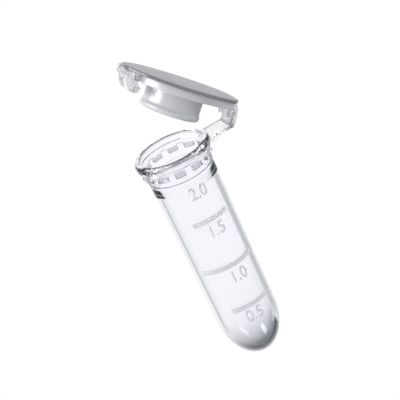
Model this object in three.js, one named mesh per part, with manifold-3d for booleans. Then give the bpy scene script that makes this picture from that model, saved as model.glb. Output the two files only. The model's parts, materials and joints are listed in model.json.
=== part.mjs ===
// Microcentrifuge tube, 2 ml, with an attached snap lid.
//
// Millimetres, +Z up. The origin is on the tube's axis, in the plane of the collar's
// underside, which is the face that rests on a rack. +X points at the hinge, -X at the
// latch, and the graduations face -Y. The tube is upright and its lid stands half open.

import * as THREE from 'three';
import { mergeVertices } from 'three/addons/utils/BufferGeometryUtils.js';
import Module from 'manifold-3d';

const wasm = await Module();
wasm.setup();

// --- driving dimensions -------------------------------------------------------------

const SEGMENTS = 64; // round pieces
const GAP = 0.05; // between neighbouring pieces

// tube wall
const BODY_TOP_Z = -3.3;
const BODY_TOP_R = 5.35; // outside
const BODY_LOW_R = 5.08; // outside, where the rounded end begins
const DOME_Z = -28.1; // centre of the rounded end
const DOME_H = 8.0; // outside height of the rounded end
const WALL = 0.78;
const DOME_WALL = 0.95; // at the very tip

// mouth
const BORE_R = 5.08;
const MOUTH_R = 5.32; // widest point of the lead-in
const NECK_R = 5.4;
const BAND_R = 5.44;
const BAND_TOP_Z = -1.1;
const COLLAR_TOP_Z = 1.35;
const COLLAR_R = 6.05;
const COLLAR_RING_Z = 0.95; // underside of the ring that joins the teeth
const TOOTH_COUNT = 12;
const TOOTH_ANGLE = 0.3; // radians
const RIM_R = 6.37;
const RIM_LOW_Z = 1.4;
const RIM_TOP_Z = 2.8;

// graduations: upper edge, and half the angle they cover, in degrees
const BAR_HEIGHT = 0.85;
const BAR_RELIEF = 0.1;
const BARS = [
  { name: 'bar_1_5', top: -8.4, half: 34 },
  { name: 'bar_1_0', top: -17.15, half: 57 },
  { name: 'bar_0_5', top: -25.0, half: 37 },
];

// strap between tube and lid
const STRAP_HALF_WIDTH = 2.28;
const LEAF_TOP_Z = 2.13;
const LEAF_THICK = 0.56;
const HINGE_X = 10.05; // axis of the film hinge
const HINGE_Z = 1.85;
const FILM_R = 0.26;
const FOLD_GAP = 0.36; // lets the leaf bend past the fold as the lid shuts

// lid, in its own frame: origin on the skirt's lower edge, +Z out of the top
const LID_TILT = 44.64; // degrees open
const HINGE_IN_LID_X = 10.093;
const HINGE_IN_LID_Z = -2.5;
const PLATE_LOW = 1.25;
const PLATE_TOP = 1.8;
const SKIRT_R = 7.0;
const SKIRT_BORE_R = 6.5;
const PLUG_R = 4.66;
const PLUG_BORE_R = 3.95;
const PLUG_LOW = -2.5;
const BEAD_R = 4.86;
const BEAD_LOW = -3.6;
const LATCH_HALF_WIDTH = 1.75;

// --- materials ----------------------------------------------------------------------

const clear = new THREE.MeshStandardMaterial({ color: 0xeff2f7, roughness: 0.12, metalness: 0 });
const frosted = new THREE.MeshStandardMaterial({ color: 0xb9bbc0, roughness: 0.45, metalness: 0 });
const satin = new THREE.MeshStandardMaterial({ color: 0xd3d5da, roughness: 0.3, metalness: 0 });
const marking = new THREE.MeshStandardMaterial({ color: 0xdadce1, roughness: 0.6, metalness: 0 });

// --- helpers ------------------------------------------------------------------------

function signedVolume(geometry) {
  const p = geometry.getAttribute('position');
  const index = geometry.getIndex().array;
  const a = new THREE.Vector3();
  const b = new THREE.Vector3();
  const c = new THREE.Vector3();
  let sum = 0;
  for (let i = 0; i < index.length; i += 3) {
    a.fromBufferAttribute(p, index[i]);
    b.fromBufferAttribute(p, index[i + 1]);
    c.fromBufferAttribute(p, index[i + 2]);
    sum += a.dot(b.cross(c)) / 6;
  }
  return sum;
}

// Merge shared vertices, drop collapsed triangles and turn every face outwards.
function closed(geometry) {
  const bare = geometry.clone();
  bare.deleteAttribute('normal');
  bare.deleteAttribute('uv');
  const welded = mergeVertices(bare, 1e-4);
  const index = [];
  const old = welded.getIndex().array;
  for (let i = 0; i < old.length; i += 3) {
    const [a, b, c] = [old[i], old[i + 1], old[i + 2]];
    if (a !== b && b !== c && c !== a) {
      index.push(a, b, c);
    }
  }
  welded.setIndex(index);
  if (signedVolume(welded) < 0) {
    for (let i = 0; i < index.length; i += 3) {
      [index[i + 1], index[i + 2]] = [index[i + 2], index[i + 1]];
    }
    welded.setIndex(index);
  }
  welded.computeVertexNormals();
  return welded;
}

// The same shape as a solid for joining and cutting, and back again.
function toSolid(geometry) {
  const g = closed(geometry);
  const vertProperties = Float32Array.from(g.getAttribute('position').array);
  const triVerts = Uint32Array.from(g.getIndex().array);
  return new wasm.Manifold(new wasm.Mesh({ numProp: 3, vertProperties, triVerts }));
}

function toGeometry(solid) {
  const mesh = solid.getMesh();
  const geometry = new THREE.BufferGeometry();
  geometry.setAttribute('position', new THREE.BufferAttribute(mesh.vertProperties, 3));
  geometry.setIndex(Array.from(mesh.triVerts));
  return geometry;
}

function add(parent, name, geometry, material) {
  const mesh = new THREE.Mesh(closed(geometry), material);
  mesh.name = name;
  parent.add(mesh);
  return mesh;
}

// A profile of [radius, height] turned about Z.
function turned(profile) {
  const points = profile.map(([r, z]) => new THREE.Vector2(r, z));
  const geometry = new THREE.LatheGeometry(points, SEGMENTS);
  return geometry.rotateX(Math.PI / 2);
}

// A ring: its profile closes on itself.
function ring(profile) {
  return turned([...profile, profile[0]]);
}

// A plan shape raised from z = low to z = high.
function slab(shape, low, high, curveSegments = 24) {
  const options = { depth: high - low, bevelEnabled: false, curveSegments };
  return new THREE.ExtrudeGeometry(shape, options).translate(0, 0, low);
}

// A side shape in X and Z, as wide as y = -half to +half.
function sideways(points, half) {
  const shape = new THREE.Shape(points.map(([x, z]) => new THREE.Vector2(x, z)));
  const options = { depth: 2 * half, bevelEnabled: false };
  const geometry = new THREE.ExtrudeGeometry(shape, options).translate(0, 0, -half);
  return geometry.rotateX(Math.PI / 2);
}

// A plan shape between two radii and two angles.
function sector(inner, outer, from, to) {
  const shape = new THREE.Shape();
  shape.absarc(0, 0, outer, from, to, false);
  shape.absarc(0, 0, inner, to, from, true);
  return shape;
}

function box(x0, x1, y0, y1, z0, z1) {
  const geometry = new THREE.BoxGeometry(x1 - x0, y1 - y0, z1 - z0);
  return geometry.translate((x0 + x1) / 2, (y0 + y1) / 2, (z0 + z1) / 2);
}

// Outer radius of the tapering wall.
function bodyRadius(z) {
  const t = (BODY_TOP_Z - z) / (BODY_TOP_Z - DOME_Z);
  return BODY_TOP_R + (BODY_LOW_R - BODY_TOP_R) * t;
}

// --- tube ---------------------------------------------------------------------------

const root = new THREE.Group();

// Straight wall and rounded end in one piece, open at the top.
const outside = [];
const inside = [];
const steps = 10;
for (let i = 0; i <= steps; i += 1) {
  const angle = (i / steps) * Math.PI / 2;
  const sin = Math.sin(angle);
  const cos = Math.cos(angle);
  outside.push([BODY_LOW_R * sin, DOME_Z - DOME_H * cos]);
  inside.push([(BODY_LOW_R - WALL) * sin, DOME_Z - (DOME_H - DOME_WALL) * cos]);
}
outside[0][0] = 0;
inside[0][0] = 0;
outside.push([BODY_TOP_R, BODY_TOP_Z]);
inside.push([BODY_TOP_R - WALL, BODY_TOP_Z]);
add(root, 'tube_wall', turned([...outside, ...inside.reverse()]), clear);

// Thick ring in which the bore narrows from the sealing width to the body's.
add(root, 'seal_band', ring([
  [BORE_R, BAND_TOP_Z],
  [BORE_R, -1.75],
  [BODY_TOP_R - WALL, BODY_TOP_Z + GAP],
  [BODY_TOP_R + 0.02, BODY_TOP_Z + GAP],
  [BAND_R, -3.1],
  [BAND_R, BAND_TOP_Z],
]), clear);

// Thin neck behind the collar.
add(root, 'neck', ring([
  [BORE_R, BAND_TOP_Z + GAP],
  [NECK_R, BAND_TOP_Z + GAP],
  [NECK_R, COLLAR_TOP_Z],
  [BORE_R, COLLAR_TOP_Z],
]), clear);

// Crenellated collar: a ring whose lower edge is cut into square teeth.
let collar = toSolid(ring([
  [NECK_R + GAP, 0],
  [COLLAR_R - 0.1, 0],
  [COLLAR_R, COLLAR_TOP_Z],
  [NECK_R + GAP, COLLAR_TOP_Z],
]));
const pitch = (2 * Math.PI) / TOOTH_COUNT;
for (let i = 0; i < TOOTH_COUNT; i += 1) {
  const middle = i * pitch;
  const half = (pitch - TOOTH_ANGLE) / 2;
  const plan = sector(NECK_R - 0.5, COLLAR_R + 1, middle - half, middle + half);
  collar = collar.subtract(toSolid(slab(plan, -1, COLLAR_RING_Z)));
}
add(root, 'collar', toGeometry(collar), clear);

// Rounded rim with its lead-in.
add(root, 'rim', ring([
  [BORE_R, RIM_LOW_Z],
  [RIM_R - 0.1, RIM_LOW_Z],
  [RIM_R, RIM_LOW_Z + 0.1],
  [RIM_R, RIM_TOP_Z - 0.4],
  [RIM_R - 0.12, RIM_TOP_Z - 0.12],
  [RIM_R - 0.4, RIM_TOP_Z],
  [MOUTH_R + 0.15, RIM_TOP_Z],
  [MOUTH_R, RIM_TOP_Z - 0.12],
]), clear);

// Graduation bars stand a little proud of the wall, centred on -Y.
for (const bar of BARS) {
  const middle = -Math.PI / 2;
  const half = THREE.MathUtils.degToRad(bar.half);
  const inner = bodyRadius(bar.top) + 0.02;
  const plan = sector(inner, inner + BAR_RELIEF, middle - half, middle + half);
  add(root, bar.name, slab(plan, bar.top - BAR_HEIGHT, bar.top), marking);
}

// --- strap --------------------------------------------------------------------------

// Leaf: a thin strip from the rim to the film hinge, thickened at its root.
const leafEnd = HINGE_X - FILM_R - FOLD_GAP;
const leafLow = LEAF_TOP_Z - LEAF_THICK;
const leaf = toSolid(sideways([
  [RIM_R - 0.6, LEAF_TOP_Z],
  [leafEnd - 0.3, LEAF_TOP_Z],
  [leafEnd, LEAF_TOP_Z - 0.28],
  [leafEnd, leafLow],
  [RIM_R + 1.3, leafLow],
  [RIM_R + 0.1, leafLow - 0.5],
  [RIM_R - 0.6, leafLow - 0.5],
], STRAP_HALF_WIDTH));
const rimSpace = toSolid(new THREE.CylinderGeometry(RIM_R + GAP, RIM_R + GAP, 6, SEGMENTS)
  .rotateX(Math.PI / 2));
add(root, 'strap_leaf', toGeometry(leaf.subtract(rimSpace)), clear);

// Film hinge: the thin fold between the leaf and the arm.
const film = new THREE.CylinderGeometry(FILM_R, FILM_R, 2 * STRAP_HALF_WIDTH - 0.1, 20);
add(root, 'film_hinge', film.translate(HINGE_X, 0, HINGE_Z), clear);

// --- lid ----------------------------------------------------------------------------

// The lid's own frame, swung open about the film hinge.
const lid = new THREE.Group();
const tilt = THREE.MathUtils.degToRad(LID_TILT);
const cosTilt = Math.cos(tilt);
const sinTilt = Math.sin(tilt);
lid.position.set(
  HINGE_X - (HINGE_IN_LID_X * cosTilt + HINGE_IN_LID_Z * sinTilt),
  0,
  HINGE_Z - (HINGE_IN_LID_Z * cosTilt - HINGE_IN_LID_X * sinTilt),
);
lid.rotation.y = tilt;
root.add(lid);

// A plan outline through half its points, mirrored across X.
function oval(half) {
  const there = half.map(([x, y]) => new THREE.Vector3(x, y, 0));
  const back = half.slice().reverse().map(([x, y]) => new THREE.Vector3(x, -y, 0));
  const curve = new THREE.CatmullRomCurve3([...there, ...back], true, 'centripetal');
  return new THREE.Shape(curve.getPoints(88).slice(0, -1).map((p) => new THREE.Vector2(p.x, p.y)));
}

add(lid, 'lid_plate', slab(oval([
  [-9.5, 1.4],
  [-9.0, 2.6],
  [-7.8, 4.4],
  [-5.8, 6.1],
  [-3.0, 7.4],
  [0.0, 7.8],
  [3.0, 7.45],
  [5.8, 6.5],
  [7.9, 5.1],
  [8.85, 4.0],
  [9.4, 2.3],
]), PLATE_LOW, PLATE_TOP), frosted);

// Skirt: a ring round the rim, run out to a tongue at the hinge.
const skirtTop = PLATE_LOW - GAP;
const skirtRing = new THREE.CylinderGeometry(SKIRT_R, SKIRT_R, skirtTop, SEGMENTS)
  .rotateX(Math.PI / 2).translate(0, 0, skirtTop / 2);
const skirtSpace = new THREE.CylinderGeometry(SKIRT_BORE_R, SKIRT_BORE_R, 6, SEGMENTS)
  .rotateX(Math.PI / 2);
const tongue = new THREE.Shape([
  new THREE.Vector2(2.0, -5.9),
  new THREE.Vector2(6.3, -5.3),
  new THREE.Vector2(8.1, -4.5),
  new THREE.Vector2(8.75, -3.6),
  new THREE.Vector2(8.75, 3.6),
  new THREE.Vector2(8.1, 4.5),
  new THREE.Vector2(6.3, 5.3),
  new THREE.Vector2(2.0, 5.9),
]);
const skirt = toSolid(skirtRing)
  .add(toSolid(slab(tongue, 0, skirtTop)))
  .subtract(toSolid(skirtSpace));
add(lid, 'lid_skirt', toGeometry(skirt), satin);

// Plug with a sealing bead at its foot.
add(lid, 'plug', ring([
  [PLUG_BORE_R, PLUG_LOW + GAP],
  [PLUG_R, PLUG_LOW + GAP],
  [PLUG_R, skirtTop],
  [PLUG_BORE_R, skirtTop],
]), satin);
add(lid, 'sealing_bead', ring([
  [PLUG_BORE_R, BEAD_LOW + 0.15],
  [PLUG_BORE_R + 0.2, BEAD_LOW],
  [PLUG_R - 0.3, BEAD_LOW],
  [PLUG_R + 0.08, BEAD_LOW + 0.3],
  [BEAD_R, BEAD_LOW + 0.6],
  [PLUG_R + 0.1, PLUG_LOW - 0.15],
  [PLUG_R, PLUG_LOW],
  [PLUG_BORE_R, PLUG_LOW],
]), satin);

// Arm: bows out from the lid's edge and down to the film hinge.
const armCurve = new THREE.QuadraticBezierCurve(
  new THREE.Vector2(9.55, PLATE_LOW - GAP),
  new THREE.Vector2(10.75, -0.5),
  new THREE.Vector2(HINGE_IN_LID_X + 0.28, HINGE_IN_LID_Z + FILM_R + GAP),
);
const armOut = [];
const armIn = [];
const armSteps = 10;
for (let i = 0; i <= armSteps; i += 1) {
  const t = i / armSteps;
  const p = armCurve.getPoint(t);
  armOut.push([p.x, p.y]);
  armIn.push([Math.max(p.x - 0.75 + 0.19 * t, 8.8), p.y]);
}

armIn[armSteps] = [HINGE_IN_LID_X + 0.02, HINGE_IN_LID_Z + FILM_R + GAP];
add(lid, 'strap_arm', sideways([...armOut, ...armIn.reverse()], STRAP_HALF_WIDTH), satin);

// Two small lugs inside the arm.
for (const [name, side] of [['lug_near', -1], ['lug_far', 1]]) {
  const y = side * 1.75;
  add(lid, name, box(8.9, 9.45, y - 0.45, y + 0.45, -1.33, -GAP), satin);
}

// Thumb tab: the turned-down front lip of the lid.
add(lid, 'thumb_tab', box(-10.1, -9.62, -1.1, 1.1, 0.35, 1.75), frosted);

// Latch: a springy hook. Its barb ends 0.01 mm outside the rim, so it stands for the catch
// without holding the lid.
add(lid, 'latch_hook', sideways([
  [-9.05, PLATE_LOW - GAP],
  [-9.42, 0.9],
  [-9.42, 0.35],
  [-9.2, -0.5],
  [-8.65, -1.4],
  [-7.85, -1.88],
  [-6.84, -1.75],
  [-6.38, -0.86],
  [-6.95, -0.86],
  [-7.15, 0.05],
  [-8.1, -0.02],
  [-8.3, 0.6],
  [-8.4, PLATE_LOW - GAP],
], LATCH_HALF_WIDTH), clear);

export default root;
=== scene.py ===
# %% [markdown]
# # A snap-lid microcentrifuge tube
#
# The real object is one polypropylene moulding: a clear tube with a rounded end, a collar
# with teeth that carries it in a rack, and a lid that hangs on a flexible strap. The CAD
# model gives every zone its place and its motion. This script builds the fine surfaces
# round that frame, gives them their plastics, and lights them as a product shot.

# %% Load the frame
import json
from math import atan2, cos, degrees, pi, radians, sin, sqrt

import bmesh
import bpy
from mathutils import Matrix, Vector


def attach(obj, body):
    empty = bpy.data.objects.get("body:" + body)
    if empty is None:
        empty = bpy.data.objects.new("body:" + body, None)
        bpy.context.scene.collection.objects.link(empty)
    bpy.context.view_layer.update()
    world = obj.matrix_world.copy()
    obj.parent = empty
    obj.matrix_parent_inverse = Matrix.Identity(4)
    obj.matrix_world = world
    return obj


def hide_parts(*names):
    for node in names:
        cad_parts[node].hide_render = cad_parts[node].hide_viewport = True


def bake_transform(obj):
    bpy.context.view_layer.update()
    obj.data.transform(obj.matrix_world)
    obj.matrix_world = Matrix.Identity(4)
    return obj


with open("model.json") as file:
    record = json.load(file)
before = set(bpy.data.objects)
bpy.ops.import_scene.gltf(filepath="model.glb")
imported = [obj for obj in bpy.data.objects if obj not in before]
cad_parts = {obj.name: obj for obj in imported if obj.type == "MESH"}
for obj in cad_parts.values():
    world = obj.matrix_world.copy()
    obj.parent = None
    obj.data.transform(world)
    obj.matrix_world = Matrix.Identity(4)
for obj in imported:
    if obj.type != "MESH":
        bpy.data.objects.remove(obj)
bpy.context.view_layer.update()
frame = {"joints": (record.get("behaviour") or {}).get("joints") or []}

# %% [markdown]
# Sizes in this lesson are millimetres, as on a moulder's drawing, while Blender's unit
# here is the metre. One constant makes the change, once per mesh, when the piece is done.

# %% Units and small helpers
MM = 0.001
TURN = 2 * pi
ROUND_STEPS = 96  # faces round a turned piece


def linear(hex_code):
    """An sRGB hex colour as the linear RGBA that a shader socket wants."""
    channels = [int(hex_code[i:i + 2], 16) / 255 for i in (0, 2, 4)]
    curve = [c / 12.92 if c <= 0.04045 else ((c + 0.055) / 1.055) ** 2.4 for c in channels]
    return (*curve, 1.0)


def add_node(tree, kind, settings=None, links=None, **inputs):
    """Adds a node, sets its properties and unlinked sockets, and links the others."""
    node = tree.nodes.new(kind)
    for name, value in (settings or {}).items():
        setattr(node, name, value)
    for name, value in inputs.items():
        node.inputs[name.replace("_", " ")].default_value = value
    for name, source in (links or {}).items():
        tree.links.new(source, node.inputs[name])
    return node


def joint_place(name):
    """Where the named joint's axis is, in millimetres."""
    joint = next(j for j in frame["joints"] if j["name"] == name)
    return Vector(joint["pos_m"]) / MM


HINGE = joint_place("lid_open")
print("film hinge at", [round(v, 2) for v in HINGE])

# %% [markdown]
# ## The camera
#
# A long lens from nearly 30 cm keeps the small tube almost free of perspective. The
# camera looks a little down, and it is rolled, so the upright tube lies on a slant in
# the picture.

# %% Camera
AIM_HEIGHT = -16.1  # mm, the point on the axis that the camera looks at
CAMERA_TURN = radians(-12.33)
CAMERA_RISE = radians(24.88)
CAMERA_DISTANCE = 299.45
CAMERA_ROLL = radians(25.12)
AIM_YAW = radians(0.15)
AIM_PITCH = radians(-1.55)
LENS = 167.36  # mm on a 36 mm sensor

back = Vector((
    sin(CAMERA_TURN) * cos(CAMERA_RISE),
    -cos(CAMERA_TURN) * cos(CAMERA_RISE),
    sin(CAMERA_RISE),
))
right = Vector((cos(CAMERA_TURN), sin(CAMERA_TURN), 0))
up = back.cross(right)
facing = Matrix((right, up, back)).transposed().to_4x4()
nudge = (
    Matrix.Rotation(-AIM_YAW, 4, "Y")
    @ Matrix.Rotation(-AIM_PITCH, 4, "X")
    @ Matrix.Rotation(-CAMERA_ROLL, 4, "Z")
)
place = Vector((0, 0, AIM_HEIGHT)) + back * CAMERA_DISTANCE

camera_data = bpy.data.cameras.new("camera")
camera_data.lens = LENS
camera_data.sensor_width = 36
camera_data.clip_start = 0.01
camera = bpy.data.objects.new("camera", camera_data)
bpy.context.scene.collection.objects.link(camera)
camera.matrix_world = Matrix.Translation(place * MM) @ facing @ nudge
bpy.context.scene.camera = camera
print("camera at", [round(v, 1) for v in place], "mm")

# %% [markdown]
# ## The studio
#
# Clear plastic has almost no look of its own: it shows what stands round it, bent. A
# clear part is shot on a lit white sweep, so that most rays through it end on white, and
# the ceiling is left grey, so that steep walls and thick edges draw themselves in grey.
# The floor is well below the tube, because the tube is held in the air and throws no
# shadow on it.

# %% Floor
FLOOR_DEPTH = 150  # mm below the collar
FLOOR_RADIUS = 3000


def plastic(name, colour, **inputs):
    """A material with a Principled shader, and the tree and shader to build on."""
    material = bpy.data.materials.new(name)
    material.use_nodes = True
    shader = material.node_tree.nodes["Principled BSDF"]
    shader.inputs["Base Color"].default_value = linear(colour)
    for socket, value in inputs.items():
        shader.inputs[socket.replace("_", " ")].default_value = value
    return material, material.node_tree, shader


sweep_paint, _, sweep_shader = plastic(
    "lit_white_sweep", "101010", Roughness=1.0, Specular_IOR_Level=0.0, Emission_Strength=1.0,
)
sweep_shader.inputs["Emission Color"].default_value = linear("FFFFFF")

sweep = bmesh.new()
bmesh.ops.create_circle(sweep, cap_ends=True, segments=96, radius=FLOOR_RADIUS * MM)
bmesh.ops.translate(sweep, verts=sweep.verts, vec=(0, 0, -FLOOR_DEPTH * MM))
sweep_mesh = bpy.data.meshes.new("floor")
sweep.to_mesh(sweep_mesh)
sweep.free()
sweep_mesh.materials.append(sweep_paint)
floor = bpy.data.objects.new("floor", sweep_mesh)
bpy.context.scene.collection.objects.link(floor)
print("floor", FLOOR_DEPTH, "mm below the collar")

# %% [markdown]
# The world is the room. Its brightness depends only on how high one looks: white near
# the horizon, grey overhead. The Standard view transform keeps white as white.

# %% Room light
ROOM_TONES = ((0.0, 1.0), (0.2, 1.0), (0.5, 0.7), (0.8, 0.55), (1.0, 0.6))

bpy.context.scene.view_settings.view_transform = "Standard"
room = bpy.data.worlds.new("studio")
bpy.context.scene.world = room
room.use_nodes = True
tree = room.node_tree
looking = add_node(tree, "ShaderNodeTexCoord")
height = add_node(tree, "ShaderNodeSeparateXYZ", links={"Vector": looking.outputs["Generated"]})
tones = add_node(tree, "ShaderNodeValToRGB", links={"Fac": height.outputs["Z"]})
while len(tones.color_ramp.elements) < len(ROOM_TONES):
    tones.color_ramp.elements.new(1.0)
for stop, (position, grey) in zip(tones.color_ramp.elements, ROOM_TONES):
    stop.position = position
    stop.color = (grey, grey, grey * 1.01, 1)
tree.links.new(tones.outputs["Color"], tree.nodes["Background"].inputs["Color"])


def softbox(name, aim, turn, rise, distance, size, power):
    """An area light that looks at a point from a compass turn and a rise, in degrees."""
    lamp = bpy.data.lights.new(name, "AREA")
    lamp.shape = "RECTANGLE"
    lamp.size, lamp.size_y = (side * MM for side in size)
    lamp.energy = power
    light = bpy.data.objects.new(name, lamp)
    bpy.context.scene.collection.objects.link(light)
    way = Vector((
        cos(radians(turn)) * cos(radians(rise)),
        sin(radians(turn)) * cos(radians(rise)),
        sin(radians(rise)),
    ))
    light.rotation_euler = way.to_track_quat("Z", "Y").to_euler()
    light.location = (Vector(aim) + way * distance) * MM
    return light


softbox("key_softbox", (0, 0, 10), 176, 36, 420, (360, 180), 1.5)
softbox("right_strip", (0, 0, -10), -28, 20, 420, (45, 220), 0.5)

# %% [markdown]
# Grey flags stand just outside the picture. A tube's wall bends the light near its edges
# well to the side, so a flag there draws the edge as a thin grey line. The camera itself
# doesn't see the flags.

# %% Grey flags
FLAG_DISTANCE = 150
FLAGS = {  # compass turn of the middle, width, foot and top in mm, and grey
    "flag_right": (34, 120, -148, 70, "C2C4C8"),
    "flag_left": (132, 90, -148, 40, "CACCD0"),
}
FLAG_FOCUS_HEIGHT = -60  # where a standing flag is darkest
FLAG_REACH = 130  # mm from there to where it has faded to white
LOW_FLAG_MIDDLE = (60, 30, 1 - FLOOR_DEPTH)  # it lies a millimetre above the floor
LOW_FLAG_RADIUS = 230
LOW_FLAG_GREY = "66686E"


def flag(name, card, grey, middle, reach):
    """A soft-edged grey card, in mm, that only bent and mirrored rays see."""
    cloth, tree, shader = plastic(
        name + "_cloth", "101010", Roughness=1.0, Specular_IOR_Level=0.0, Emission_Strength=1.0,
    )
    where = add_node(tree, "ShaderNodeTexCoord")
    away = add_node(
        tree, "ShaderNodeVectorMath", {"operation": "DISTANCE"},
        links={"Vector": where.outputs["Object"]},
    )
    away.inputs[1].default_value = Vector(middle) * MM
    fade = add_node(
        tree, "ShaderNodeMapRange", {"interpolation_type": "SMOOTHSTEP"},
        links={"Value": away.outputs["Value"]},
        From_Min=0.3 * reach * MM, From_Max=reach * MM,
    )
    shade = add_node(
        tree, "ShaderNodeMix", {"data_type": "RGBA"}, links={"Factor": fade.outputs["Result"]},
    )
    shade.inputs[6].default_value = linear(grey)
    shade.inputs[7].default_value = linear("FFFFFF")
    tree.links.new(shade.outputs[2], shader.inputs["Emission Color"])
    mesh = bpy.data.meshes.new(name)
    card.transform(Matrix.Scale(MM, 4))
    card.to_mesh(mesh)
    card.free()
    mesh.materials.append(cloth)
    stood = bpy.data.objects.new(name, mesh)
    bpy.context.scene.collection.objects.link(stood)
    stood.visible_camera = False


for name, (turn, width, foot, top, grey) in FLAGS.items():
    card = bmesh.new()
    bmesh.ops.create_grid(card, x_segments=1, y_segments=1, size=0.5)
    card.transform(
        Matrix.Rotation(radians(turn), 4, "Z")
        @ Matrix.Translation((FLAG_DISTANCE, 0, (foot + top) / 2))
        @ Matrix.Rotation(pi / 2, 4, "Y")
        @ Matrix.Diagonal((top - foot, width, 1, 1))
    )
    side = Matrix.Rotation(radians(turn), 3, "Z") @ Vector((FLAG_DISTANCE, 0, FLAG_FOCUS_HEIGHT))
    flag(name, card, grey, side, FLAG_REACH)

card = bmesh.new()
bmesh.ops.create_circle(card, cap_ends=True, segments=48, radius=LOW_FLAG_RADIUS)
bmesh.ops.translate(card, verts=card.verts, vec=LOW_FLAG_MIDDLE)
flag("flag_low", card, LOW_FLAG_GREY, LOW_FLAG_MIDDLE, LOW_FLAG_RADIUS)
print("flags", list(FLAGS))

# %% [markdown]
# ## The plastics
#
# Every zone is the same polypropylene, and what differs is the mould's surface. Polished
# steel gives the tube its glass-clear wall, a fine satin finish makes the plug and skirt
# milky, and a spark-eroded texture frosts the lid's top so that a pen can write on it.
# All of them read Object coordinates, and their scales are millimetres.

# %% Plastics
PER_MM = 1000  # a pattern's scale counts repeats per metre


def moulded(name, colour, grain, relief, roughness, **inputs):
    """Moulded plastic: a noise as coarse as the grain, in mm, moves gloss and surface."""
    material, tree, shader = plastic(name, colour, **inputs)
    where = add_node(tree, "ShaderNodeTexCoord")
    noise = add_node(
        tree, "ShaderNodeTexNoise", links={"Vector": where.outputs["Object"]},
        Scale=PER_MM / grain, Detail=3.0, Roughness=0.55,
    )
    gloss = add_node(
        tree, "ShaderNodeMapRange", links={"Value": noise.outputs["Fac"]},
        From_Min=0.3, From_Max=0.7, To_Min=roughness[0], To_Max=roughness[1],
    )
    bump = add_node(
        tree, "ShaderNodeBump", links={"Height": noise.outputs["Fac"]},
        Strength=1.0, Distance=relief * MM,
    )
    tree.links.new(gloss.outputs["Result"], shader.inputs["Roughness"])
    tree.links.new(bump.outputs["Normal"], shader.inputs["Normal"])
    return material


# Clear polypropylene from a polished mould: glassy, with the slow waves of cooled resin.
CLEAR = moulded(
    "clear_polypropylene_polished", "F9FAFD", 5.0, 0.004, (0.015, 0.04),
    Transmission_Weight=1.0, IOR=1.42, Specular_IOR_Level=0.5,
)
# The same resin from a satin mould: milky, with broad soft highlights.
SATIN = moulded(
    "polypropylene_satin", "BDBFC3", 2.0, 0.0008, (0.26, 0.32),
    Transmission_Weight=0.04, IOR=1.6, Specular_IOR_Level=0.8,
)
# Satin resin in thin hooks, arms and tabs: the light comes through, a little grey.
THIN_SATIN = moulded(
    "polypropylene_satin_thin", "E6E7EA", 2.0, 0.001, (0.12, 0.18),
    Transmission_Weight=0.78, IOR=1.3, Specular_IOR_Level=0.5,
)
# The lid's polished edge carries the light away sideways, so it looks dark; here that is painted
# shade, a dark grey on the plate's side faces.
PAINTED_EDGE_SHADE = moulded(
    "polypropylene_painted_edge_shade", "76787C", 2.0, 0.001, (0.1, 0.16),
    Transmission_Weight=0.1, IOR=1.49, Specular_IOR_Level=0.5,
)
# The strap's leaf is the satin resin at half a millimetre: almost as light as air.
FILM = moulded(
    "polypropylene_satin_film", "FAFAFC", 1.5, 0.001, (0.16, 0.22),
    Transmission_Weight=0.93, IOR=1.12, Specular_IOR_Level=0.3,
)
# Spark-eroded mould texture: grey and matt, with an even grain, drawn coarse at 0.25 mm so
# that it shows.
FROSTED = moulded(
    "polypropylene_frosted", "B4B6BA", 0.25, 0.006, (0.38, 0.55),
    Transmission_Weight=0.25, IOR=1.49, Specular_IOR_Level=0.5,
)
# Etched marks on the clear wall: they scatter light, so they are a shade darker than it.
ETCHED = moulded(
    "polypropylene_etched_marks", "ECEDF0", 0.3, 0.004, (0.5, 0.65),
    Transmission_Weight=0.6, IOR=1.3, Specular_IOR_Level=0.1,
)
print("plastics", [m.name for m in (CLEAR, SATIN, FROSTED, ETCHED)])

# %% [markdown]
# ## From a bmesh to a piece
#
# Each piece is shaped as a bmesh in millimetres. Then its doubles are merged, its faces
# are turned outwards, it is scaled to metres and put in its place, and edges sharper
# than a set angle stay crisp under smooth shading.

# %% Finishing helpers
WELD = 0.002  # mm


def weld(bm):
    bmesh.ops.remove_doubles(bm, verts=bm.verts, dist=WELD)
    bmesh.ops.dissolve_degenerate(bm, edges=bm.edges, dist=WELD / 4)
    bmesh.ops.recalc_face_normals(bm, faces=bm.faces)


def piece(name, bm, body, material, stands_for, place=Matrix(), crisp=35):
    """Makes the object, and rides it on its body unless that is None."""
    weld(bm)
    bm.transform(Matrix.Scale(MM, 4) @ place)
    mesh = bpy.data.meshes.new(name)
    bm.to_mesh(mesh)
    bm.free()
    mesh.shade_smooth()
    mesh.set_sharp_from_angle(angle=radians(crisp))
    mesh.materials.append(material)
    made = bpy.data.objects.new(name, mesh)
    bpy.context.scene.collection.objects.link(made)
    if body:
        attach(made, body)
    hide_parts(*stands_for)
    print(name, len(mesh.polygons), "faces")
    return made


# %% [markdown]
# ## The tube
#
# Tube, sealing band, neck, collar and rim are one moulding, so they are one spun skin
# with no seams inside the plastic: inner faces would show as dark lines in a clear wall.
# The profile runs from the tip's outside up over the rim and down the bore to the tip's
# inside. Its rounded end is a quarter of an ellipse.

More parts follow.
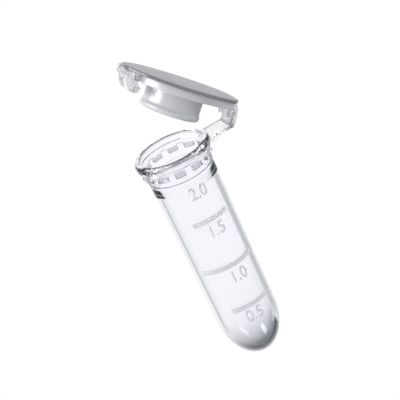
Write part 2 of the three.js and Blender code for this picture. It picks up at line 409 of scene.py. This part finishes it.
# %% Tube profile
WALL_TOP = (5.35, -3.3)  # radius and height where the plain wall begins
DOME_HEIGHT = -28.1
DOME_OUTSIDE = (5.08, 8.0)  # radius, and length down to the tip
DOME_INSIDE = (4.30, 7.05)
COLLAR_UNDERSIDE = 0.95
WALL_SUPPORT = [(5.345, -3.7), WALL_TOP]  # a second loop keeps the long wall's shading straight
BORE_SUPPORT = [(4.568, -3.6), (4.56, -4.2)]
MOUTH_OUTSIDE = [
    (5.44, -3.25), (5.44, -1.14), (5.32, -1.08), (5.32, COLLAR_UNDERSIDE),
    (6.0, COLLAR_UNDERSIDE), (6.05, 1.32), (5.96, 1.38), (5.96, 1.48), (6.24, 1.5), (6.33, 1.58),
    (6.37, 1.75), (6.37, 2.3), (6.33, 2.5), (6.24, 2.66), (6.1, 2.76), (5.94, 2.8),
]
MOUTH_INSIDE = [
    (5.6, 2.8), (5.5, 2.76), (5.44, 2.68), (5.12, 1.4), (5.08, 1.2), (5.08, 1.0),
    (5.08, -1.6), (5.08, -1.75), (4.57, -3.3),
]
DOME_STEPS = 16


def dome(radius, length):
    """Points from the tip up to where the straight wall begins."""
    turns = [i / DOME_STEPS * pi / 2 for i in range(DOME_STEPS + 1)]
    return [(radius * sin(a), DOME_HEIGHT - length * cos(a)) for a in turns]


def spun(profile, steps, closed=False, start=0.0):
    """Spins a profile of (radius, height) about Z. A closed profile makes a ring."""
    bm = bmesh.new()
    corners = [bm.verts.new((r * cos(start), r * sin(start), z)) for r, z in profile]
    for here, there in zip(corners, corners[1:]):
        bm.edges.new((here, there))
    if closed:
        bm.edges.new((corners[-1], corners[0]))
    bmesh.ops.spin(
        bm, geom=bm.verts[:] + bm.edges[:], cent=(0, 0, 0), axis=(0, 0, 1),
        angle=TURN, steps=steps, use_merge=True,
    )
    weld(bm)
    return bm


tube_profile = dome(*DOME_OUTSIDE) + WALL_SUPPORT + MOUTH_OUTSIDE + MOUTH_INSIDE + BORE_SUPPORT
tube_profile += dome(*DOME_INSIDE)[::-1]
print("tube profile of", len(tube_profile), "points")

# %% [markdown]
# The collar rests on a rack with its teeth, twelve of them here, which is an estimate.
# After the spin, the faces under the collar are sorted by their angle, and the ones
# that belong to a tooth are extruded down to the rack's plane.

# %% Tube moulding
TEETH = 12
STEPS_PER_TOOTH = 12  # faces in one pitch of teeth
TOOTH_FACES = 7
TUBE_STEPS = TEETH * STEPS_PER_TOOTH

tube = spun(tube_profile, TUBE_STEPS, start=TURN / TUBE_STEPS / 2)
under_collar = [
    face for face in tube.faces
    if abs(face.normal.z) > 0.99 and abs(face.calc_center_median().z - COLLAR_UNDERSIDE) < 0.01
]


def tooth_step(face):
    """How many faces this one is from the middle of the nearest tooth."""
    middle = face.calc_center_median()
    angle = atan2(middle.y, middle.x) % (TURN / TEETH)
    return abs(angle - TURN / TEETH / 2) / (TURN / TUBE_STEPS)


tooth_faces = [face for face in under_collar if tooth_step(face) < TOOTH_FACES / 2]
grown = bmesh.ops.extrude_face_region(tube, geom=tooth_faces)
feet = [item for item in grown["geom"] if isinstance(item, bmesh.types.BMVert)]
bmesh.ops.delete(tube, geom=tooth_faces, context="FACES_ONLY")
bmesh.ops.translate(tube, verts=feet, vec=(0, 0, -COLLAR_UNDERSIDE))
piece(
    "tube_moulding", tube, "tube", CLEAR,
    ["tube_wall", "seal_band", "neck", "collar", "rim"], crisp=24,
)

# %% [markdown]
# ## Graduations
#
# The marks are etched areas that stand a tenth of a millimetre proud. A bar is a small
# upright rectangle spun through the bar's own angle. The numbers are text, made a mesh
# while it is flat, and then wrapped round the tapering wall.

# %% Graduation bars
TAPER = (WALL_TOP[0] - DOME_OUTSIDE[0]) / (WALL_TOP[1] - DOME_HEIGHT)
MARK_CLEAR = 0.02  # mm between mark and wall
MARK_RELIEF = 0.1
BAR_HEIGHT = 0.85
BARS = {  # upper edge, and the first and last angle round the wall, in degrees
    "bar_1_5": (-8.4, -124, -56),
    "bar_1_0": (-17.15, -147, -33),
    "bar_0_5": (-25.0, -127, -53),
}


def wall_radius(z):
    return WALL_TOP[0] - TAPER * (WALL_TOP[1] - z) + MARK_CLEAR


for node, (top, first, last) in BARS.items():
    bar = bmesh.new()
    low = top - BAR_HEIGHT
    corners = [
        (wall_radius(low), low), (wall_radius(low) + MARK_RELIEF, low + 0.05),
        (wall_radius(top) + MARK_RELIEF, top - 0.05), (wall_radius(top), top),
    ]
    turn = radians(first)
    bar.faces.new([bar.verts.new((r * cos(turn), r * sin(turn), z)) for r, z in corners])
    bmesh.ops.spin(
        bar, geom=bar.faces[:], cent=(0, 0, 0), axis=(0, 0, 1),
        angle=radians(last - first), steps=(last - first) // 3,
    )
    piece(node + "_mark", bar, "tube", ETCHED, [node])

# %% Graduation numbers
NUMBER_SIZE = 3.05  # mm, the type size
NUMBER_SQUEEZE = 0.82
NUMBER_WEIGHT = 0.03  # mm added to each side of a stroke
NUMBERS = {  # middle height and angle
    "2.0": (-3.75, -91),
    "1.5": (-10.9, -89),
    "1.0": (-19.75, -87),
    "0.5": (-27.3, -90.5),
}


def solid(curve):
    """A curve's or a text's surface as a bmesh, with its seams merged."""
    holder = bpy.data.objects.new(curve.name, curve)
    bpy.context.scene.collection.objects.link(holder)
    bpy.context.view_layer.update()
    drawn = holder.evaluated_get(bpy.context.evaluated_depsgraph_get())
    mesh = bpy.data.meshes.new_from_object(drawn)
    bm = bmesh.new()
    bm.from_mesh(mesh)
    bpy.data.objects.remove(holder)
    bpy.data.curves.remove(curve)
    bpy.data.meshes.remove(mesh)
    bmesh.ops.remove_doubles(bm, verts=bm.verts, dist=WELD / 4)
    return bm


for text, (height_mm, angle) in NUMBERS.items():
    figures = bpy.data.curves.new("number", "FONT")
    figures.body = text
    figures.size = NUMBER_SIZE
    figures.align_x = "CENTER"
    figures.align_y = "CENTER"
    figures.extrude = MARK_RELIEF / 2
    figures.offset = NUMBER_WEIGHT
    figures.resolution_u = 4
    number = solid(figures)
    bmesh.ops.scale(number, vec=(NUMBER_SQUEEZE, 1, 1), verts=number.verts)
    for vert in number.verts:
        z = height_mm + vert.co.y
        radius = wall_radius(z) + MARK_RELIEF / 2 + vert.co.z
        turn = radians(angle) + vert.co.x / wall_radius(z)
        vert.co = (radius * cos(turn), radius * sin(turn), z)
    piece("number_" + text.replace(".", "_"), number, "tube", ETCHED, [])

# %% [markdown]
# ## Side shapes
#
# Strap, arm and hook are flat shapes pulled to a width. A two-dimensional curve through
# a few points gives them: its fill makes the sides, its extrusion makes the width, and
# its own bevel rounds the edges. A third value on a point makes a sharp corner there.

# %% Outline helper
SHARP = "VECTOR"


def outline(points, width, rounding, steps=5, hole=None):
    """A shape through points (x, y), and maybe a hole's points, centred on Z."""
    curve = bpy.data.curves.new("outline", "CURVE")
    curve.dimensions = "2D"
    curve.fill_mode = "BOTH"
    curve.resolution_u = steps
    curve.extrude = width / 2 - rounding
    curve.bevel_depth = rounding
    curve.bevel_resolution = 2
    curve.offset = -rounding
    for loop in filter(None, (points, hole)):
        spline = curve.splines.new("BEZIER")
        spline.bezier_points.add(len(loop) - 1)
        spline.use_cyclic_u = True
        for knot, (x, y, *corner) in zip(spline.bezier_points, loop):
            knot.co = (x, y, 0)
            knot.handle_left_type = knot.handle_right_type = corner[0] if corner else "AUTO"
    return solid(curve)


def on_edge(bm):
    """Stands a flat shape up, so that its second axis points up."""
    bm.transform(Matrix.Rotation(pi / 2, 4, "X"))
    return bm


def sliced(bm, normal, places):
    """Cuts new edge loops into a shape at the given places."""
    for place in places:
        bmesh.ops.bisect_plane(
            bm, geom=bm.verts[:] + bm.edges[:] + bm.faces[:],
            plane_co=Vector(normal) * place, plane_no=normal,
        )
    return bm


print("outlines ready")

# %% [markdown]
# ## The strap
#
# The leaf leaves the rim as a thin strip and ends in the fold. Its root is curved to the
# rim. The leaf bends when the lid shuts; here it is one still piece that rides no body,
# with edge loops cut across and along it. The fold is a thin roll that the leaf's and the
# arm's ends share, so that they stay joined while the lid swings.

# %% Strap leaf and fold
RIM_RADIUS = 6.37
STRAP_WIDTH = 4.56
LEAF_TOP = 2.13
LEAF_LOW = 1.57
FOLD_RADIUS = 0.3
LEAF_CUTS_ACROSS = [-1.8, -1.2, -0.6, 0, 0.6, 1.2, 1.8]
LEAF_CUTS_ALONG = [6.9, 7.2, 7.5, 7.8, 8.1, 8.4, 8.7, 9.0]
ROOT_LENGTH = 0.5  # mm over which the root's curve fades out
ROOT_SHIFT = 0.01

leaf_side = [
    (RIM_RADIUS, LEAF_TOP, SHARP), (HINGE.x - 0.45, LEAF_TOP, SHARP), (HINGE.x, HINGE.z + 0.2),
    (HINGE.x + 0.1, HINGE.z), (HINGE.x - 0.1, LEAF_LOW, SHARP), (RIM_RADIUS + 1.5, LEAF_LOW),
    (RIM_RADIUS + 0.4, LEAF_LOW - 0.25), (RIM_RADIUS, LEAF_LOW - 0.5, SHARP),
]
leaf = on_edge(outline(leaf_side, STRAP_WIDTH, 0.08))
sliced(leaf, (0, 1, 0), LEAF_CUTS_ACROSS)
sliced(leaf, (1, 0, 0), LEAF_CUTS_ALONG)
for vert in leaf.verts:
    hold = max(0, 1 - (vert.co.x - RIM_RADIUS) / ROOT_LENGTH)
    sagitta = RIM_RADIUS - sqrt(RIM_RADIUS ** 2 - vert.co.y ** 2)
    vert.co.x -= hold * sagitta - ROOT_SHIFT
leaf_strip = piece("leaf_strip", leaf, None, FILM, ["strap_leaf"])
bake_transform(leaf_strip)

fold = bmesh.new()
bmesh.ops.create_cone(
    fold, cap_ends=True, segments=24, radius1=FOLD_RADIUS, radius2=FOLD_RADIUS,
    depth=STRAP_WIDTH - 0.06,
)
caps = [edge for edge in fold.edges if abs(edge.verts[0].co.z - edge.verts[1].co.z) < 0.01]
bmesh.ops.bevel(
    fold, geom=caps, offset=0.08, segments=2, profile=0.5, affect="EDGES", material=-1,
)
fold.transform(Matrix.Translation(HINGE) @ Matrix.Rotation(pi / 2, 4, "X"))
piece("fold_roll", fold, "fold", FILM, ["film_hinge"])

# %% [markdown]
# ## The lid
#
# The lid's parts are shaped in the lid's own frame, where the skirt's lower edge is at
# zero and the top looks up. One matrix then swings them open about the fold.

# %% Lid frame
lid_close = next(j for j in frame["joints"] if j["name"] == "lid_close")
LID_TILT = -radians(lid_close["range_deg"][0])
HINGE_IN_LID = Vector((10.093, 0, -2.5))
LID_PLACE = (
    Matrix.Translation(HINGE) @ Matrix.Rotation(LID_TILT, 4, "Y")
    @ Matrix.Translation(-HINGE_IN_LID)
)
print("lid centre", [round(v, 3) for v in LID_PLACE.translation])
print("lid tilt", round(degrees(LID_TILT), 2), "degrees")


def mirrored(half):
    """The points, and the same points back on the other side of the X axis."""
    return [(x, y, *c) for x, y, *c in half] + [(x, -y, *c) for x, y, *c in half[::-1]]


# %% [markdown]
# The plate is a flat rounded tongue shape with a soft edge. Its top is frosted, and the
# faces that look sideways take a darker grey: painted shade for its polished edge.

# %% Lid plate
PLATE_LOW = 1.25
PLATE_TOP = 1.8
PLATE_HALF = [
    (-9.5, 1.4), (-9.0, 2.6), (-7.8, 4.4), (-5.8, 6.1), (-3.0, 7.4), (0.0, 7.8),
    (3.0, 7.45), (5.8, 6.5), (7.9, 5.1), (8.85, 4.0), (9.4, 2.3),
]
plate = outline(mirrored(PLATE_HALF), PLATE_TOP - PLATE_LOW, 0.12)
bmesh.ops.translate(plate, verts=plate.verts, vec=(0, 0, (PLATE_TOP + PLATE_LOW) / 2))
lid_top = piece("lid_top", plate, "lid", FROSTED, ["lid_plate"], LID_PLACE)
# The side faces get the dark grey of painted edge shade.
lid_top.data.materials.append(PAINTED_EDGE_SHADE)
up_from_lid = LID_PLACE.to_3x3() @ Vector((0, 0, 1))
for face in lid_top.data.polygons:
    face.material_index = int(abs(face.normal.dot(up_from_lid)) < 0.8)

# %% [markdown]
# The skirt reaches down round the rim when the lid is shut. It is a ring that runs out
# to a stiff tongue on the hinge side: an outline with a round hole.

# %% Lid skirt
SKIRT_RADIUS = 7.0
SKIRT_BORE = 6.5
SKIRT_TOP = PLATE_LOW - 0.05
ring_half = [
    (SKIRT_RADIUS * cos(radians(a)), SKIRT_RADIUS * sin(radians(a)))
    for a in range(180 - 9, 60, -18)
]
tongue_half = [(6.3, 5.35), (8.0, 4.6), (8.65, 3.9), (8.75, 2.4)]
bore = [
    (SKIRT_BORE * cos(radians(a)), SKIRT_BORE * sin(radians(a))) for a in range(0, 360, 18)
]
skirt = outline(mirrored(ring_half + tongue_half), SKIRT_TOP, 0.1, hole=bore)
bmesh.ops.translate(skirt, verts=skirt.verts, vec=(0, 0, SKIRT_TOP / 2))
piece("lid_rim_skirt", skirt, "lid", SATIN, ["lid_skirt"], LID_PLACE)

# %% [markdown]
# The plug is a thin-walled cup rim with a sealing bead at its foot. Both are one spun
# ring, so the wall runs into the bead in one smooth curve.

# %% Plug
PLUG_RING = [
    (3.95, SKIRT_TOP), (3.95, -3.42), (4.02, -3.55), (4.15, -3.6), (4.36, -3.6), (4.6, -3.5),
    (4.78, -3.3), (4.86, -3.05), (4.84, -2.85), (4.76, -2.66), (4.68, -2.5), (4.64, -2.3),
    (4.64, -2.1), (4.64, 0.4), (4.64, 0.6), (4.7, 0.95), (4.85, SKIRT_TOP),
]
plug = spun(PLUG_RING, ROUND_STEPS, closed=True)
piece("plug_cup", plug, "lid", SATIN, ["plug", "sealing_bead"], LID_PLACE)

# %% [markdown]
# The arm bows out from the lid's edge and comes down to the fold, where its end is round
# about the fold's axis. Two small lugs stiffen the corner behind it.

# %% Arm and lugs
ARM_SIDE = [
    (8.85, SKIRT_TOP, SHARP), (9.55, SKIRT_TOP, SHARP), (10.0, 0.5), (10.3, -0.5),
    (10.4, -1.4), (10.37, -2.5), (10.093, -2.78), (9.83, -2.5), (9.8, -1.8), (9.65, -0.8),
    (9.35, 0.1), (8.95, 0.5, SHARP),
]
arm = on_edge(outline(ARM_SIDE, STRAP_WIDTH, 0.08))
piece("strap_arm_bow", arm, "lid", THIN_SATIN, ["strap_arm"], LID_PLACE)

LUG_SIZE = (0.6, 0.9, 1.3)
LUG_PLACE = (9.2, 1.75, -0.68)  # the far lug's middle

for side, node in ((-1, "lug_near"), (1, "lug_far")):
    lug = bmesh.new()
    bmesh.ops.create_cube(lug, size=1)
    bmesh.ops.scale(lug, vec=LUG_SIZE, verts=lug.verts)
    bmesh.ops.bevel(
        lug, geom=lug.edges[:], offset=0.12, segments=3, profile=0.5, affect="EDGES", material=-1,
    )
    bmesh.ops.translate(lug, verts=lug.verts, vec=(LUG_PLACE[0], side * LUG_PLACE[1], LUG_PLACE[2]))
    piece(node + "_stub", lug, "lid", THIN_SATIN, [node], LID_PLACE)

# %% [markdown]
# At the front, the lid's lip turns down into a thumb tab, and a springy hook hangs below
# it. A real barb catches under the rim. This one ends just outside the rim, so the shut
# lid is not held.

# %% Thumb tab and latch hook
TAB_SIZE = (0.5, 2.2, 1.4)
TAB_PLACE = (-9.85, 0, 1.05)

tab = bmesh.new()
bmesh.ops.create_cube(tab, size=1)
bmesh.ops.scale(tab, vec=TAB_SIZE, verts=tab.verts)
bmesh.ops.bevel(
    tab, geom=tab.edges[:], offset=0.14, segments=3, profile=0.5, affect="EDGES", material=-1,
)
bmesh.ops.translate(tab, verts=tab.verts, vec=TAB_PLACE)
piece("thumb_lip", tab, "lid", THIN_SATIN, ["thumb_tab"], LID_PLACE)

HOOK_SIDE = [
    (-9.05, SKIRT_TOP, SHARP), (-9.42, 0.9), (-9.42, 0.3), (-9.18, -0.5), (-8.65, -1.4),
    (-7.85, -1.86), (-6.84, -1.75), (-6.4, -0.88, SHARP), (-6.95, -0.88, SHARP),
    (-7.15, 0.05, SHARP), (-8.1, -0.02, SHARP), (-8.3, 0.6), (-8.4, SKIRT_TOP, SHARP),
]
HOOK_WIDTH = 3.5
hook = on_edge(outline(HOOK_SIDE, HOOK_WIDTH, 0.1))
piece("latch_spring_hook", hook, "latch", THIN_SATIN, ["latch_hook"], LID_PLACE)
